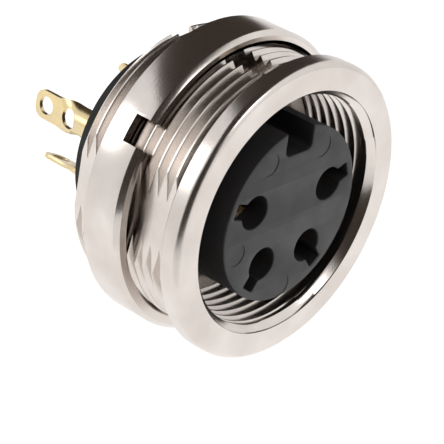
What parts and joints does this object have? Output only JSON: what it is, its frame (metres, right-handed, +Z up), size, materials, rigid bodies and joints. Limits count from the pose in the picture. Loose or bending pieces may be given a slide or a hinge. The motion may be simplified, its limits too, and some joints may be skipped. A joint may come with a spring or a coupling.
{
  "type": "din socket",
  "caption": "Round panel-mount socket connector with a flanged threaded shell, a slotted ring nut, a notched insert and gold contacts with solder lugs.",
  "frame": {"origin": "centre of the flange's rear face, which seats on the panel", "axes": "+Y along the socket's axis from the mating face to the solder lugs, +Z up through the insert's coding notch, +X to the right seen from the front"},
  "size_m": [0.02, 0.0188, 0.02],
  "materials": {
    "shell_plating": "satin nickel plate over brass",
    "nut_plating": "satin nickel plate over brass",
    "insert_moulding": "dark grey moulding, slightly shiny on the face",
    "rear_moulding": "black moulding",
    "spring_steel": "plain spring steel",
    "contact_gold": "thin gold plate over brass"
  },
  "bodies": {
    "socket": {"shell": "shell_plating", "contact_insert": "insert_moulding", "rear_insulator": "rear_moulding", "retaining_ring": "spring_steel", "contact_1": "contact_gold", "contact_2": "contact_gold", "contact_3": "contact_gold", "contact_4": "contact_gold"},
    "nut": {"ring_nut": "nut_plating"}
  },
  "joints": [
    {"name": "nut_travel", "type": "slide", "parent": "socket", "child": "nut", "axis": [0, 1, 0], "range_m": [-0.00335, 0.0051]}
  ]
}
